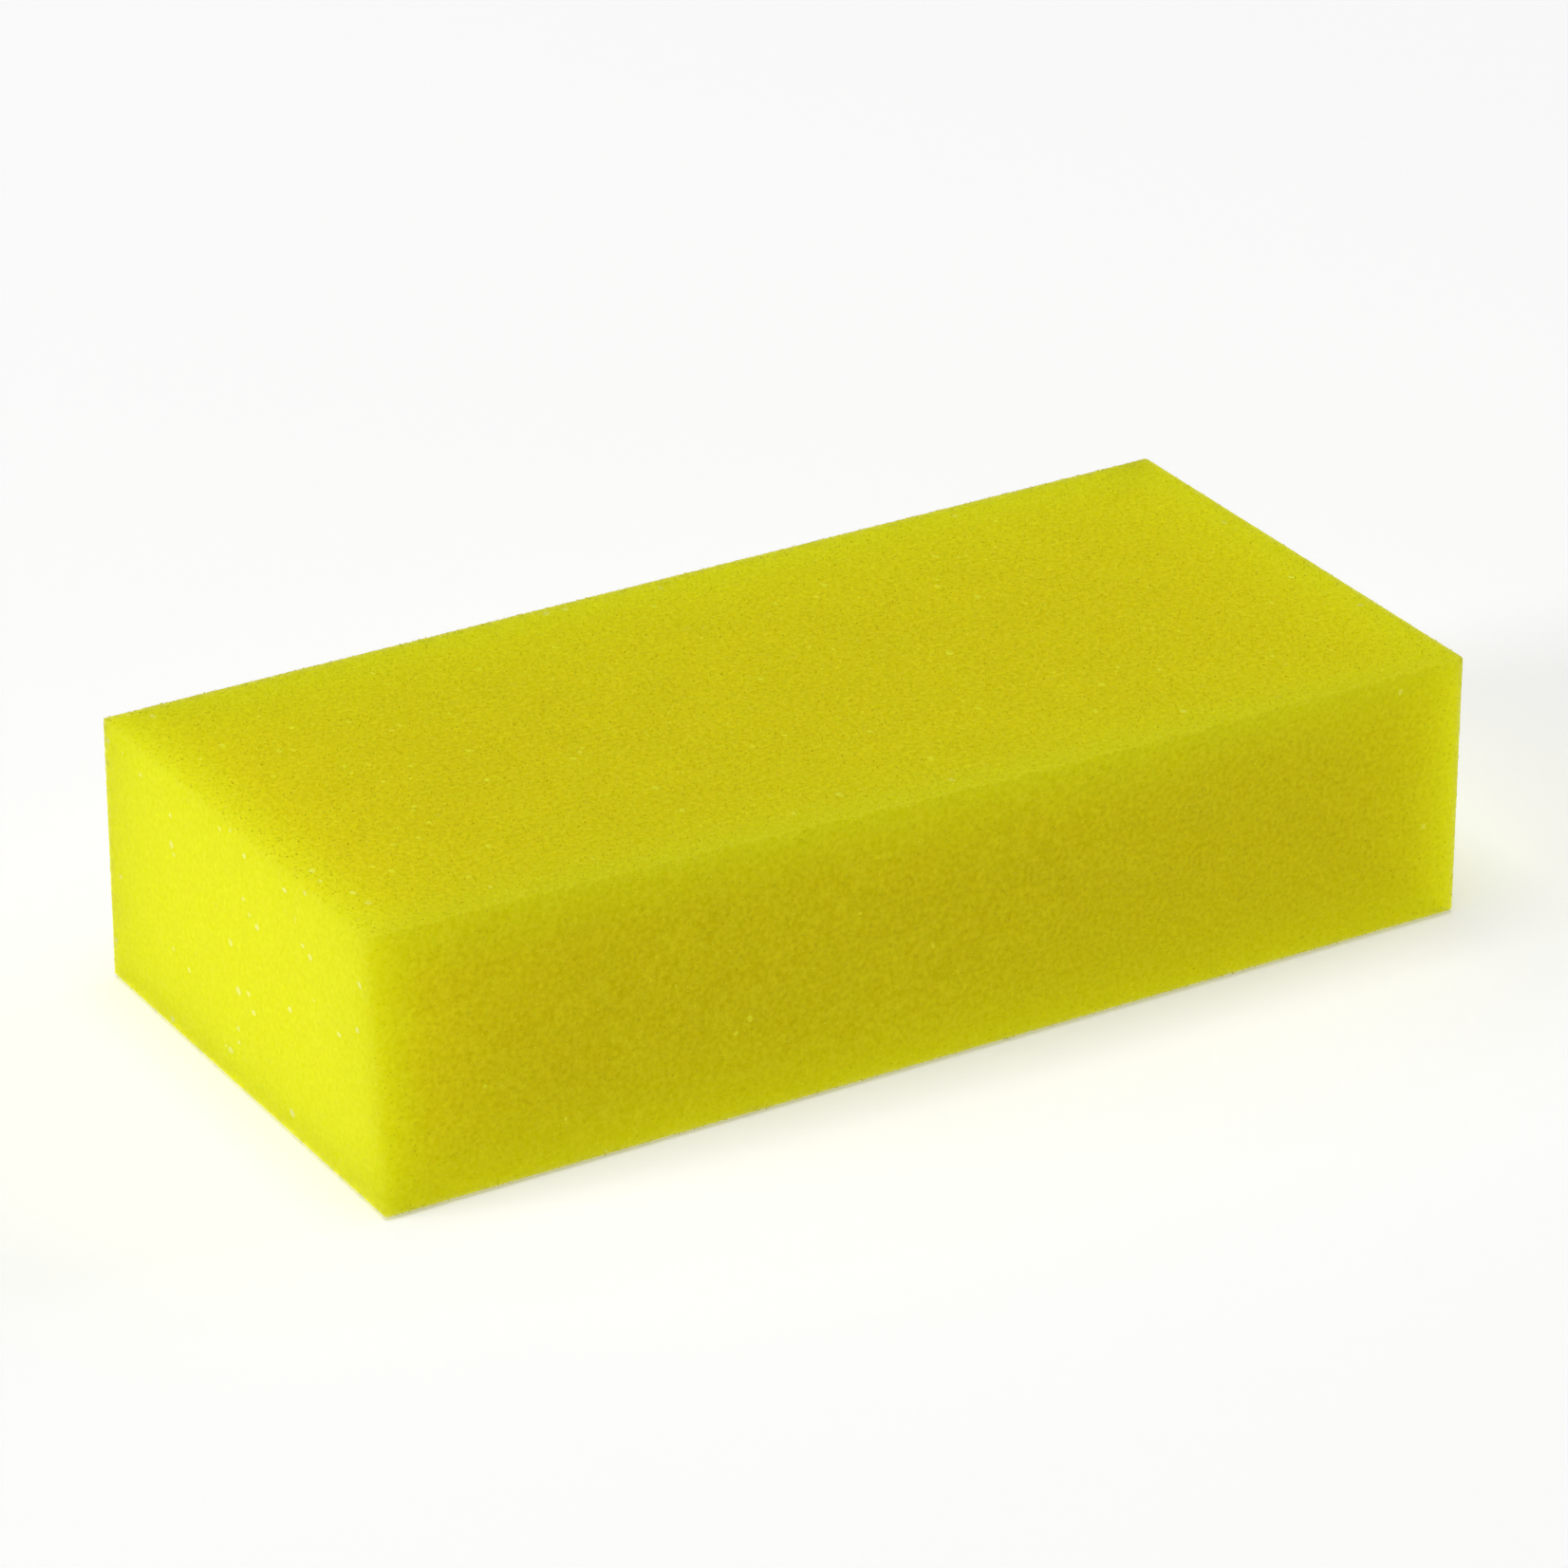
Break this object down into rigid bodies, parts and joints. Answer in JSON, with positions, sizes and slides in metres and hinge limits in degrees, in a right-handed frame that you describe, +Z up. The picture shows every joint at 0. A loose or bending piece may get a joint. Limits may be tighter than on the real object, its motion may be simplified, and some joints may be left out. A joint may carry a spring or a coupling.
{
  "type": "nail buffer block",
  "caption": "Soft rectangular buffing block: a solid open-cell foam core with a fine abrasive coat bonded to its long faces and bare cut ends.",
  "frame": {"origin": "centre of the underside, the wide face that the block rests on", "axes": "+X along the block's length, towards one bare end; +Y across its width, towards the back long side; +Z up, through its thickness"},
  "size_m": [0.106, 0.05, 0.025],
  "materials": {
    "foam": "matte",
    "abrasive": "matte"
  },
  "bodies": {
    "root": {"foam_core": "foam", "top_abrasive": "abrasive", "bottom_abrasive": "abrasive", "front_abrasive": "abrasive", "back_abrasive": "abrasive"}
  },
  "joints": []
}
